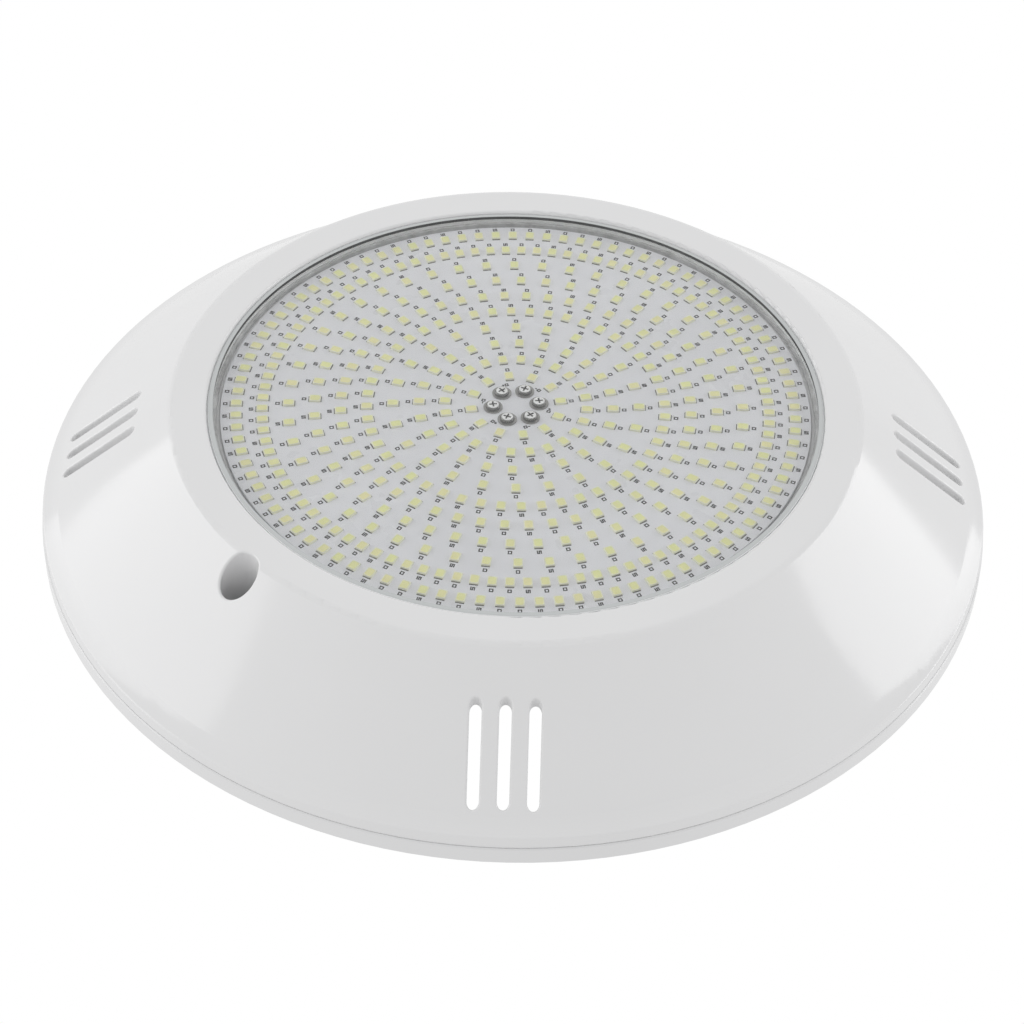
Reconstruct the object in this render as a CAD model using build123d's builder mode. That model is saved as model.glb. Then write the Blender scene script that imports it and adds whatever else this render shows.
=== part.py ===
from build123d import *
import math
import os

# Surface-mounted underwater pool light, drawn lying on its back.
# Millimetres. Z = 0 is the wall plane, +Z is the optical axis, and the centre of the round lamp
# is on the Z axis. The lock screw's hole is at 225 degrees, seen from the front.

os.makedirs("parts", exist_ok=True)

# ---------------------------------------------------------------- driving dimensions
height = 44.0               # wall plane to the flat face ring
opening_r = 93.0            # hole in the face ring, round the lens
shoulder_r = 103.8          # where the flat face ring meets the cone
cone_slope = math.tan(math.radians(40.9))
cone_secant = 1 / math.cos(math.radians(40.9))
wall = 2.5                  # moulded wall of the shroud
flare_start_r = 139.5       # the cone flares out from here to the rim
rim_r = 144.6               # vertical rim wall of the shroud
rim_top = 9.9               # upper edge of the rim wall
ring_r = 145.0              # rear flange ring, 0.4 mm proud of the shroud
ring_top = 6.0              # parting line between shroud and flange ring
ring_inner_r = 129.5
ring_thick = 4.0
groove = 0.35               # chamfers that make the parting groove

slot_inner_r = 114.8        # water slots, three side by side at each quarter
slot_outer_r = 137.6
slot_width = 3.4
slot_pitch = 8.23

lock_r = 107.8              # lock screw axis
lock_angle = 225.0
lock_bore_r = 5.55
lock_tube_r = 7.6
lock_tube_bottom = 12.0
lock_floor = 15.0
lock_thread_r = 2.0

lens_r = 92.6
lens_flange_r = 97.5
lens_edge_top = 43.3
lens_crown = 0.9            # rise of the lens from its edge to its centre
dome_radius = (lens_r ** 2 + lens_crown ** 2) / (2 * lens_crown)
lens_thick = 2.5
lens_step = 41.4            # underside of the face ring, on the lens flange
lens_skirt_bottom = 39.6
lens_skirt_r = 91.2

board_r = 89.0              # LED board
board_top = 39.1
board_thick = 1.6
gasket_inner_r = 90.2
dish_flange_r = 105.5
dish_flange_top = 38.1
dish_flange_thick = 2.5
dish_pocket_r = 89.4
dish_side_r = 88.5
dish_back_r = 80.0
dish_back = 18.0            # back of the lamp body
body_screw_r = 102.0
rear_screw_r = 133.8
screw_ring_count = 8
screw_ring_start = 22.5
screw_shank_r = 1.4         # both rings of self-tapping screws
screw_head_r = 3.0
screw_head_high = 2.0
cross_long = 3.2            # cross recess of a screw head
cross_wide = 0.7
cross_deep = 1.1
mouth_round = 0.6           # rounded mouths of the slots and of the lock screw's bore

led_ring_r = 84.3           # outermost ring of LEDs
led_ring_pitch = 7.85
led_counts = [96, 96, 48, 48, 48, 48, 24, 24, 24, 12]
led_start = 2.0             # degrees, first LED of the outermost ring
led_twist = 2.0             # degrees that each ring in is turned back
led_length = 3.5
led_width = 2.8
led_thick = 0.7

terminal_r = 7.0            # six feed screws at the board's centre
terminal_start = 9.2
terminal_count = 6
terminal_head_r = 2.2
terminal_washer_r = 2.9
terminal_shank_r = 1.0
washer_thick = 0.4

driver_r = 60.0             # driver board, under the LED board
driver_bottom = 24.5
driver_thick = 1.6
driver_screw_r = 54.0
driver_screw_count = 4
driver_screw_start = 45.0
driver_shank_r = 1.2
driver_boss_r = 3.5
dish_floor = dish_back + wall
driver_top = driver_bottom + driver_thick

gland_y = 30.0              # cable gland, off centre in the back of the body
gland_thread_r = 8.0
cable_r = 4.2

bracket_r = 72.0
bracket_window_r = 48.0
bracket_thick = 3.0
bracket_rib_top = 6.0
wall_hole_pcd = 116.0
wall_hole_r = 2.6
post_r = 58.0               # push-in posts of the bracket
post_angles = [45.0, 135.0, 315.0]
post_rod_r = 4.0
post_top = 16.5
socket_r = 9.0
socket_bore_r = 6.5
socket_bottom = 8.0
boss_top = 11.7
boss_r = 7.0
insert_r = 3.2
insert_bottom = 3.7


# ---------------------------------------------------------------- shared geometry
def cone_z(r, depth=0.0):
    """Height of the cone at radius r, on a surface this far under the outer one."""
    return height - (r - shoulder_r) * cone_slope - depth * cone_secant


def shoulder_at(depth):
    """Radius where the face ring meets the cone, on a surface this far under the outer one."""
    return shoulder_r - depth * (cone_secant - 1) / cone_slope


def corner(sketch, x, y):
    """The vertex of a sketch nearest to a point."""
    return sketch.vertices().sort_by_distance((x, y, 0))[0]


def on_slot_mouth(edge):
    """True for an edge where a water slot breaks through the outer face of the cone."""
    middle = edge @ 0.5
    r = math.hypot(middle.X, middle.Y)
    return slot_inner_r - 0.1 < r < slot_outer_r + 0.1 and abs(middle.Z - cone_z(r)) < 0.01


def on_bore_mouth(edge):
    """True for an edge where the lock screw's bore breaks through the face."""
    middle = edge @ 0.5
    out = math.hypot(middle.X - lock_place[0], middle.Y - lock_place[1])
    return middle.Z > (lock_floor + height) / 2 and abs(out - lock_bore_r) < 0.01


def polar(r, angle):
    """A point in plan from its radius and its angle in degrees."""
    return (r * math.cos(math.radians(angle)), r * math.sin(math.radians(angle)))


def crown_z(r, top):
    """Height of the shallow lens dome at radius r, for a dome with this height at its centre."""
    return top - dome_radius + math.sqrt(dome_radius ** 2 - r ** 2)


lock_place = polar(lock_r, lock_angle)
gland_place = (0, gland_y)

# ---------------------------------------------------------------- front shroud
# Stiffening ribs under the cone, before they are trimmed to it.
rib_count = 16
rib_start = 11.25
rib_depth = 7.0
rib_thick = 1.5
rib_inner_r = 108.0
rib_outer_r = 142.0
far_below = -10.0
with BuildPart() as shroud_ribs:
    with BuildSketch(Plane.XY.offset(ring_top)):
        with PolarLocations((rib_inner_r + rib_outer_r) / 2, rib_count, rib_start):
            Rectangle(rib_outer_r - rib_inner_r, rib_thick)
    extrude(amount=height - ring_top)
    with BuildSketch(Plane.XZ):
        with BuildLine():
            Polyline((opening_r, far_below), (opening_r, cone_z(opening_r, wall + rib_depth)),
                     (rib_outer_r, cone_z(rib_outer_r, wall + rib_depth)), (rib_outer_r, far_below),
                     (opening_r, far_below))
        make_face()
    revolve(axis=Axis.Z, mode=Mode.SUBTRACT)

# Screw bosses, the tube of the lock screw and the ribs, trimmed to just under the skin.
trim = 1.0
body_boss_r = 3.2
rear_boss_r = 3.6
rear_boss_high = 20.0
body_pilot_deep = 4.0
rear_pilot_deep = 9.0
with BuildPart() as shroud_inside:
    with BuildSketch(Plane.XY.offset(dish_flange_top)):
        with PolarLocations(body_screw_r, screw_ring_count, screw_ring_start):
            Circle(body_boss_r)
    extrude(amount=height - dish_flange_top)
    with BuildSketch(Plane.XY.offset(ring_thick)):
        with PolarLocations(rear_screw_r, screw_ring_count, screw_ring_start):
            Circle(rear_boss_r)
    extrude(amount=rear_boss_high)
    with BuildSketch(Plane.XY.offset(lock_tube_bottom)):
        with Locations(lock_place):
            Circle(lock_tube_r)
    extrude(amount=height - lock_tube_bottom)
    add(shroud_ribs.part)
    with BuildSketch(Plane.XZ):
        with BuildLine():
            Polyline((0, 0), (rim_r - trim, 0), (rim_r - trim, cone_z(rim_r - trim, trim)),
                     (shoulder_at(trim), height - trim), (0, height - trim), (0, 0))
        make_face()
    revolve(axis=Axis.Z, mode=Mode.INTERSECT)

# The skin: face ring, rounded shoulder, straight cone, a short flare and the rim wall.
with BuildPart() as front_shroud:
    with BuildSketch(Plane.XZ) as skin:
        with BuildLine():
            face = Line((opening_r, height), (shoulder_r, height))
            cone = Line(face @ 1, (flare_start_r, cone_z(flare_start_r)))
            flare = TangentArc(cone @ 1, (rim_r, rim_top), tangent=cone % 1)
            Polyline(flare @ 1, (rim_r, ring_top + groove), (rim_r - groove, ring_top),
                     (rim_r - wall, ring_top), (rim_r - wall, cone_z(rim_r - wall, wall)),
                     (shoulder_at(wall), lens_step), (opening_r, lens_step), face @ 0)
        make_face()
        fillet(corner(skin, shoulder_r, height), 3.0)
        fillet(corner(skin, rim_r, rim_top), 1.0)
        fillet(corner(skin, opening_r, height), 0.9)
    revolve(axis=Axis.Z)
    add(shroud_inside.part)
    # bore and seat of the lock screw
    with BuildSketch(Plane.XY.offset(lock_floor)):
        with Locations(lock_place):
            Circle(lock_bore_r)
    extrude(amount=height, mode=Mode.SUBTRACT)
    with BuildSketch(Plane.XY.offset(lock_tube_bottom - 1)):
        with Locations(lock_place):
            Circle(lock_thread_r + 0.25)
    extrude(amount=lock_floor - lock_tube_bottom + 2, mode=Mode.SUBTRACT)
    # blind pilot holes of the two rings of screws
    with BuildSketch(Plane.XY.offset(dish_flange_top - 1)):
        with PolarLocations(body_screw_r, screw_ring_count, screw_ring_start):
            Circle(screw_shank_r)
    extrude(amount=body_pilot_deep + 1, mode=Mode.SUBTRACT)
    with BuildSketch(Plane.XY.offset(ring_thick - 1)):
        with PolarLocations(rear_screw_r, screw_ring_count, screw_ring_start):
            Circle(screw_shank_r)
    extrude(amount=rear_pilot_deep + 1, mode=Mode.SUBTRACT)
    # water slots
    with BuildSketch(Plane.XY.offset(ring_top)):
        with PolarLocations((slot_inner_r + slot_outer_r) / 2, 4):
            with Locations((0, -slot_pitch), (0, 0), (0, slot_pitch)):
                SlotOverall(slot_outer_r - slot_inner_r, slot_width)
    extrude(amount=height, mode=Mode.SUBTRACT)
    fillet(front_shroud.edges().filter_by(on_slot_mouth), mouth_round)
    fillet(front_shroud.edges().filter_by(on_bore_mouth), mouth_round)
front_shroud.part.label = "front_shroud"
export_step(front_shroud.part, "parts/front_shroud.step")

# ---------------------------------------------------------------- rear flange ring
counterbore_deep = 2.4
with BuildPart() as rear_flange_ring:
    with BuildSketch(Plane.XZ) as section:
        with BuildLine():
            Polyline((ring_inner_r, 0), (ring_r, 0), (ring_r, ring_top - groove),
                     (ring_r - groove, ring_top), (rim_r - wall, ring_top),
                     (rim_r - wall, ring_thick), (ring_inner_r, ring_thick), (ring_inner_r, 0))
        make_face()
        chamfer(corner(section, ring_r, 0), 0.6)
        fillet(corner(section, ring_inner_r, ring_thick), 0.8)
    revolve(axis=Axis.Z)
    with BuildSketch(Plane.XY):
        with PolarLocations(rear_screw_r, screw_ring_count, screw_ring_start):
            Circle(screw_shank_r)
    extrude(amount=ring_thick, mode=Mode.SUBTRACT)
    with BuildSketch(Plane.XY):
        with PolarLocations(rear_screw_r, screw_ring_count, screw_ring_start):
            Circle(screw_head_r + 0.4)
    extrude(amount=counterbore_deep, mode=Mode.SUBTRACT)
rear_flange_ring.part.label = "rear_flange_ring"
export_step(rear_flange_ring.part, "parts/rear_flange_ring.step")

with BuildPart() as flange_screws:
    with BuildSketch(Plane.XY.offset(counterbore_deep - screw_head_high)):
        with PolarLocations(rear_screw_r, screw_ring_count, screw_ring_start):
            Circle(screw_head_r)
    extrude(amount=screw_head_high)
    with BuildSketch(Plane.XY.offset(counterbore_deep)):
        with PolarLocations(rear_screw_r, screw_ring_count, screw_ring_start):
            Circle(screw_shank_r)
    extrude(amount=ring_thick - counterbore_deep + rear_pilot_deep - 1)
    with BuildSketch(Plane.XY.offset(counterbore_deep - screw_head_high)):
        with PolarLocations(rear_screw_r, screw_ring_count, screw_ring_start):
            Rectangle(cross_long, cross_wide)
            Rectangle(cross_wide, cross_long)
    extrude(amount=cross_deep, mode=Mode.SUBTRACT)
flange_screws.part.label = "flange_screws"
export_step(flange_screws.part, "parts/flange_screws.step")

# ---------------------------------------------------------------- lens and its gasket
lens_top = lens_edge_top + lens_crown
lens_hollow = lens_top - lens_thick
with BuildPart() as lens:
    with BuildSketch(Plane.XZ) as section:
        with BuildLine():
            ThreePointArc((0, lens_top), (lens_r / 2, crown_z(lens_r / 2, lens_top)),
                          (lens_r, lens_edge_top))
            Polyline((lens_r, lens_edge_top), (lens_r, lens_step), (lens_flange_r, lens_step),
                     (lens_flange_r, lens_skirt_bottom), (lens_skirt_r, lens_skirt_bottom),
                     (lens_skirt_r, crown_z(lens_skirt_r, lens_hollow)))
            ThreePointArc((lens_skirt_r, crown_z(lens_skirt_r, lens_hollow)),
                          (lens_skirt_r / 2, crown_z(lens_skirt_r / 2, lens_hollow)),
                          (0, lens_hollow))
            Line((0, lens_hollow), (0, lens_top))
        make_face()
        fillet(corner(section, lens_r, lens_edge_top), 0.4)
    revolve(axis=Axis.Z)
lens.part.label = "lens"
export_step(lens.part, "parts/lens.step")

with BuildPart() as lens_gasket:
    with BuildSketch(Plane.XY.offset(dish_flange_top)):
        Circle(lens_flange_r)
        Circle(gasket_inner_r, mode=Mode.SUBTRACT)
    extrude(amount=lens_skirt_bottom - dish_flange_top)
lens_gasket.part.label = "lens_gasket"
export_step(lens_gasket.part, "parts/lens_gasket.step")

# ---------------------------------------------------------------- lamp body
# A shallow dish that holds the boards, clamped up to the shroud by its flange. Three sockets
# and the gland's threaded hole are in its back.
flange_under = dish_flange_top - dish_flange_thick
ledge_r = 86.0
ledge_z = board_top - board_thick
with BuildPart() as lamp_body:
    with BuildSketch(Plane.XZ) as section:
        with BuildLine():
            Polyline((0, dish_back), (dish_back_r, dish_back), (dish_side_r, flange_under),
                     (dish_flange_r, flange_under), (dish_flange_r, dish_flange_top),
                     (dish_pocket_r, dish_flange_top), (dish_pocket_r, ledge_z),
                     (ledge_r, ledge_z), (dish_back_r - wall, dish_floor), (0, dish_floor),
                     (0, dish_back))
        make_face()
        fillet(corner(section, dish_back_r, dish_back), 3.0)
        fillet(corner(section, dish_side_r, flange_under), 2.0)
    revolve(axis=Axis.Z)
    with BuildSketch(Plane.XY.offset(socket_bottom)):
        for angle in post_angles:
            with Locations(polar(post_r, angle)):
                Circle(socket_r)
    extrude(amount=dish_back - socket_bottom)
    with BuildSketch(Plane.XY.offset(socket_bottom)):
        for angle in post_angles:
            with Locations(polar(post_r, angle)):
                Circle(socket_bore_r)
    extrude(amount=dish_back - socket_bottom - 0.5, mode=Mode.SUBTRACT)
    with BuildSketch(Plane.XY.offset(dish_floor)):
        with PolarLocations(driver_screw_r, driver_screw_count, driver_screw_start):
            Circle(driver_boss_r)
    extrude(amount=driver_bottom - dish_floor)
    with BuildSketch(Plane.XY.offset(dish_floor)):
        with PolarLocations(driver_screw_r, driver_screw_count, driver_screw_start):
            Circle(driver_shank_r)
    extrude(amount=driver_bottom - dish_floor, mode=Mode.SUBTRACT)
    # screw holes in the flange, the notch round the lock screw's tube and the gland's hole
    with BuildSketch(Plane.XY.offset(flange_under)):
        with PolarLocations(body_screw_r, screw_ring_count, screw_ring_start):
            Circle(screw_shank_r)
    extrude(amount=dish_flange_thick, mode=Mode.SUBTRACT)
    with BuildSketch(Plane.XY.offset(flange_under)):
        with Locations(lock_place):
            Circle(lock_tube_r + 0.5)
    extrude(amount=dish_flange_thick, mode=Mode.SUBTRACT)
    with BuildSketch(Plane.XY.offset(dish_back)):
        with Locations(gland_place):
            Circle(gland_thread_r + 0.1)
    extrude(amount=wall, mode=Mode.SUBTRACT)
lamp_body.part.label = "lamp_body"
export_step(lamp_body.part, "parts/lamp_body.step")

with BuildPart() as body_screws:
    with BuildSketch(Plane.XY.offset(flange_under - screw_head_high)):
        with PolarLocations(body_screw_r, screw_ring_count, screw_ring_start):
            Circle(screw_head_r)
    extrude(amount=screw_head_high)
    with BuildSketch(Plane.XY.offset(flange_under)):
        with PolarLocations(body_screw_r, screw_ring_count, screw_ring_start):
            Circle(screw_shank_r)
    extrude(amount=dish_flange_thick + body_pilot_deep - 0.5)
    with BuildSketch(Plane.XY.offset(flange_under - screw_head_high)):
        with PolarLocations(body_screw_r, screw_ring_count, screw_ring_start):
            Rectangle(cross_long, cross_wide)
            Rectangle(cross_wide, cross_long)
    extrude(amount=cross_deep, mode=Mode.SUBTRACT)
body_screws.part.label = "body_screws"
export_step(body_screws.part, "parts/body_screws.step")

with BuildPart() as mount_grommets:
    with BuildSketch(Plane.XY.offset(socket_bottom)):
        for angle in post_angles:
            with Locations(polar(post_r, angle)):
                Circle(socket_bore_r)
                Circle(post_rod_r + 0.08, mode=Mode.SUBTRACT)
    extrude(amount=dish_back - socket_bottom - 1.5)
mount_grommets.part.label = "mount_grommets"
export_step(mount_grommets.part, "parts/mount_grommets.step")

# ---------------------------------------------------------------- LED board and its LEDs
with BuildPart() as led_board:
    with BuildSketch(Plane.XY.offset(ledge_z)):
        Circle(board_r)
        with PolarLocations(terminal_r, terminal_count, terminal_start):
            Circle(terminal_shank_r + 0.1, mode=Mode.SUBTRACT)
    extrude(amount=board_thick)
led_board.part.label = "led_board"
export_step(led_board.part, "parts/led_board.step")

# Each ring in is one pitch smaller and turned back a little. Where the count halves, the ring
# also steps round by half of its own spacing.
ring_angle = led_start
for ring, count in enumerate(led_counts):
    if ring > 0:
        ring_angle -= led_twist
        if count != led_counts[ring - 1]:
            ring_angle += 180 / count
    with BuildPart() as led_ring:
        with BuildSketch(Plane.XY.offset(board_top)):
            with PolarLocations(led_ring_r - ring * led_ring_pitch, count, ring_angle):
                Rectangle(led_length, led_width)
        extrude(amount=led_thick)
    led_ring.part.label = f"led_ring_{ring + 1:02d}"
    export_step(led_ring.part, f"parts/led_ring_{ring + 1:02d}.step")

# ---------------------------------------------------------------- feed terminals of the board
with BuildPart() as terminal_washers:
    with BuildSketch(Plane.XY.offset(board_top)):
        with PolarLocations(terminal_r, terminal_count, terminal_start):
            Circle(terminal_washer_r)
            Circle(terminal_shank_r + 0.1, mode=Mode.SUBTRACT)
    extrude(amount=washer_thick)
terminal_washers.part.label = "terminal_washers"
export_step(terminal_washers.part, "parts/terminal_washers.step")

terminal_head_z = board_top + washer_thick
terminal_head_high = 1.05
terminal_head_round = 0.75
terminal_cross_deep = 0.65
terminal_cross_long = 2.4
terminal_cross_wide = 0.55
terminal_tail = 6.0
with BuildPart() as terminal_screws:
    with BuildSketch(Plane.XY.offset(terminal_head_z)):
        with PolarLocations(terminal_r, terminal_count, terminal_start):
            Circle(terminal_head_r)
    extrude(amount=terminal_head_high)
    fillet(terminal_screws.faces().sort_by(Axis.Z)[-terminal_count:].edges(), terminal_head_round)
    with BuildSketch(Plane.XY.offset(terminal_head_z + terminal_head_high - terminal_cross_deep)):
        with PolarLocations(terminal_r, terminal_count, terminal_start):
            Rectangle(terminal_cross_long, terminal_cross_wide)
            Rectangle(terminal_cross_wide, terminal_cross_long)
    extrude(amount=terminal_head_high, mode=Mode.SUBTRACT)
    with BuildSketch(Plane.XY.offset(ledge_z - terminal_tail)):
        with PolarLocations(terminal_r, terminal_count, terminal_start):
            Circle(terminal_shank_r)
    extrude(amount=terminal_head_z - ledge_z + terminal_tail)
terminal_screws.part.label = "terminal_screws"
export_step(terminal_screws.part, "parts/terminal_screws.step")

with BuildPart() as terminal_pillars:
    with BuildSketch(Plane.XY.offset(driver_top)):
        with PolarLocations(terminal_r, terminal_count, terminal_start):
            RegularPolygon(2.3, 6)
            Circle(terminal_shank_r, mode=Mode.SUBTRACT)
    extrude(amount=ledge_z - driver_top)
terminal_pillars.part.label = "terminal_pillars"
export_step(terminal_pillars.part, "parts/terminal_pillars.step")

# ---------------------------------------------------------------- driver board and its parts
cable_cutout_r = 6.0
driver_head_r = 2.4
driver_head_high = 1.6
with BuildPart() as driver_board:
    with BuildSketch(Plane.XY.offset(driver_bottom)):
        Circle(driver_r)
        with PolarLocations(driver_screw_r, driver_screw_count, driver_screw_start):
            Circle(driver_shank_r, mode=Mode.SUBTRACT)
        with Locations(gland_place):
            Circle(cable_cutout_r, mode=Mode.SUBTRACT)
    extrude(amount=driver_thick)
driver_board.part.label = "driver_board"
export_step(driver_board.part, "parts/driver_board.step")

with BuildPart() as driver_screws:
    with BuildSketch(Plane.XY.offset(driver_top)):
        with PolarLocations(driver_screw_r, driver_screw_count, driver_screw_start):
            Circle(driver_head_r)
    extrude(amount=driver_head_high)
    with BuildSketch(Plane.XY.offset(dish_floor + 0.5)):
        with PolarLocations(driver_screw_r, driver_screw_count, driver_screw_start):
            Circle(driver_shank_r)
    extrude(amount=driver_top - dish_floor - 0.5)
driver_screws.part.label = "driver_screws"
export_step(driver_screws.part, "parts/driver_screws.step")

rectifier_place = (-30, 22)
rectifier_long = 16.0
rectifier_thick = 4.5
rectifier_high = 9.0
with BuildPart() as bridge_rectifier:
    with BuildSketch(Plane.XY.offset(driver_top)):
        with Locations(rectifier_place):
            Rectangle(rectifier_long, rectifier_thick)
    extrude(amount=rectifier_high)
    chamfer(bridge_rectifier.edges().filter_by(Axis.Z).sort_by(Axis.X)[0], 1.2)
bridge_rectifier.part.label = "bridge_rectifier"
export_step(bridge_rectifier.part, "parts/bridge_rectifier.step")

capacitor_ring_r = 36.0
capacitor_count = 3
capacitor_r = 5.0
capacitor_high = 10.4
with BuildPart() as filter_capacitors:
    with BuildSketch(Plane.XY.offset(driver_top)):
        with PolarLocations(capacitor_ring_r, capacitor_count, 200, 60):
            Circle(capacitor_r)
    extrude(amount=capacitor_high)
    fillet(filter_capacitors.faces().sort_by(Axis.Z)[-capacitor_count:].edges(), 0.7)
filter_capacitors.part.label = "filter_capacitors"
export_step(filter_capacitors.part, "parts/filter_capacitors.step")

choke_place = (32, -14)
choke_r = 7.0
choke_high = 9.0
choke_neck_r = 4.0
choke_rim = 1.5
with BuildPart() as choke_core:
    with BuildSketch(Plane.XY.offset(driver_top)):
        with Locations(choke_place):
            Circle(choke_r)
    extrude(amount=choke_high)
    with BuildSketch(Plane.XY.offset(driver_top + choke_rim)):
        with Locations(choke_place):
            Circle(choke_r)
            Circle(choke_neck_r, mode=Mode.SUBTRACT)
    extrude(amount=choke_high - 2 * choke_rim, mode=Mode.SUBTRACT)
choke_core.part.label = "choke_core"
export_step(choke_core.part, "parts/choke_core.step")

with BuildPart() as choke_winding:
    with BuildSketch(Plane.XY.offset(driver_top + choke_rim)):
        with Locations(choke_place):
            Circle(choke_r - 0.6)
            Circle(choke_neck_r, mode=Mode.SUBTRACT)
    extrude(amount=choke_high - 2 * choke_rim)
choke_winding.part.label = "choke_winding"
export_step(choke_winding.part, "parts/choke_winding.step")

chip_place = (26, 8)
chip_long = 6.0
chip_wide = 5.0
chip_high = 1.6
with BuildPart() as driver_chip:
    with BuildSketch(Plane.XY.offset(driver_top)):
        with Locations(chip_place):
            Rectangle(chip_wide, chip_long)
    extrude(amount=chip_high)
driver_chip.part.label = "driver_chip"
export_step(driver_chip.part, "parts/driver_chip.step")

transistor_places = [(18, -32), (30, -32)]
transistor_long = 6.6
transistor_wide = 6.1
transistor_high = 2.3
with BuildPart() as switch_transistors:
    with BuildSketch(Plane.XY.offset(driver_top)):
        with Locations(transistor_places):
            Rectangle(transistor_long, transistor_wide)
    extrude(amount=transistor_high)
switch_transistors.part.label = "switch_transistors"
export_step(switch_transistors.part, "parts/switch_transistors.step")

varistor_r = 4.5
varistor_thick = 3.5
varistor_x = -20.0
varistor_y = 34.0
with BuildPart() as surge_varistor:
    with BuildSketch(Plane.XZ.offset(-varistor_y)):
        with Locations((varistor_x, driver_top + varistor_r)):
            Circle(varistor_r)
    extrude(amount=varistor_thick)
surge_varistor.part.label = "surge_varistor"
export_step(surge_varistor.part, "parts/surge_varistor.step")

block_y = 45.0
block_long = 10.2
block_wide = 7.6
block_high = 9.0
block_pole = 2.5            # each pole's distance from the middle
wire_hole_r = 1.4
wire_hole_high = 3.2
clamp_hole_r = 1.8
clamp_hole_deep = 3.5
with BuildPart() as supply_terminal_block:
    with BuildSketch(Plane.XY.offset(driver_top)):
        with Locations((0, block_y)):
            Rectangle(block_long, block_wide)
    extrude(amount=block_high)
    with BuildSketch(Plane.XZ.offset(-block_y)):
        for x in (-block_pole, block_pole):
            with Locations((x, driver_top + wire_hole_high)):
                Circle(wire_hole_r)
    extrude(amount=block_wide, mode=Mode.SUBTRACT)
    with BuildSketch(Plane.XY.offset(driver_top + block_high - clamp_hole_deep)):
        with Locations((-block_pole, block_y), (block_pole, block_y)):
            Circle(clamp_hole_r)
    extrude(amount=block_high, mode=Mode.SUBTRACT)
supply_terminal_block.part.label = "supply_terminal_block"
export_step(supply_terminal_block.part, "parts/supply_terminal_block.step")

# ---------------------------------------------------------------- cable gland
gland_flange_bottom = 12.0
gland_seal_thick = 1.0
gland_foot = 6.5
gland_nut_bottom = 3.6
gland_hex_r = 12.0
gland_sleeve_r = 6.2
gland_sleeve_high = 5.0
gland_seal_r = 10.3
lock_nut_r = 11.0
lock_nut_high = 3.2
with BuildPart() as gland_body:
    with BuildSketch(Plane.XY.offset(gland_foot)):
        with Locations(gland_place):
            Circle(gland_thread_r)
    extrude(amount=driver_bottom - 0.3 - gland_foot)
    with BuildSketch(Plane.XY.offset(gland_flange_bottom)):
        with Locations(gland_place):
            RegularPolygon(gland_hex_r, 6)
    extrude(amount=dish_back - gland_seal_thick - gland_flange_bottom)
    with BuildSketch(Plane.XY.offset(gland_foot)):
        with Locations(gland_place):
            Circle(cable_r)
    extrude(amount=driver_bottom - gland_foot, mode=Mode.SUBTRACT)
    with BuildSketch(Plane.XY.offset(gland_foot)):
        with Locations(gland_place):
            Circle(gland_sleeve_r)
    extrude(amount=gland_sleeve_high, mode=Mode.SUBTRACT)
gland_body.part.label = "gland_body"
export_step(gland_body.part, "parts/gland_body.step")

with BuildPart() as gland_sealing_ring:
    with BuildSketch(Plane.XY.offset(dish_back - gland_seal_thick)):
        with Locations(gland_place):
            Circle(gland_seal_r)
            Circle(gland_thread_r, mode=Mode.SUBTRACT)
    extrude(amount=gland_seal_thick)
gland_sealing_ring.part.label = "gland_sealing_ring"
export_step(gland_sealing_ring.part, "parts/gland_sealing_ring.step")

with BuildPart() as gland_insert:
    with BuildSketch(Plane.XY.offset(gland_foot)):
        with Locations(gland_place):
            Circle(gland_sleeve_r)
            Circle(cable_r, mode=Mode.SUBTRACT)
    extrude(amount=gland_sleeve_high)
gland_insert.part.label = "gland_insert"
export_step(gland_insert.part, "parts/gland_insert.step")

with BuildPart() as gland_cap_nut:
    with BuildSketch(Plane.XY.offset(gland_nut_bottom)):
        with Locations(gland_place):
            RegularPolygon(gland_hex_r, 6)
    extrude(amount=gland_flange_bottom - gland_nut_bottom)
    chamfer(gland_cap_nut.faces().sort_by(Axis.Z)[0].edges(), 1.2)
    with BuildSketch(Plane.XY.offset(gland_foot)):
        with Locations(gland_place):
            Circle(gland_thread_r)
    extrude(amount=gland_flange_bottom - gland_foot, mode=Mode.SUBTRACT)
    with BuildSketch(Plane.XY.offset(gland_nut_bottom)):
        with Locations(gland_place):
            Circle(cable_r)
    extrude(amount=gland_foot - gland_nut_bottom, mode=Mode.SUBTRACT)
gland_cap_nut.part.label = "gland_cap_nut"
export_step(gland_cap_nut.part, "parts/gland_cap_nut.step")

with BuildPart() as gland_lock_nut:
    with BuildSketch(Plane.XY.offset(dish_floor)):
        with Locations(gland_place):
            RegularPolygon(lock_nut_r, 6)
            Circle(gland_thread_r, mode=Mode.SUBTRACT)
    extrude(amount=lock_nut_high)
gland_lock_nut.part.label = "gland_lock_nut"
export_step(gland_lock_nut.part, "parts/gland_lock_nut.step")

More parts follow.
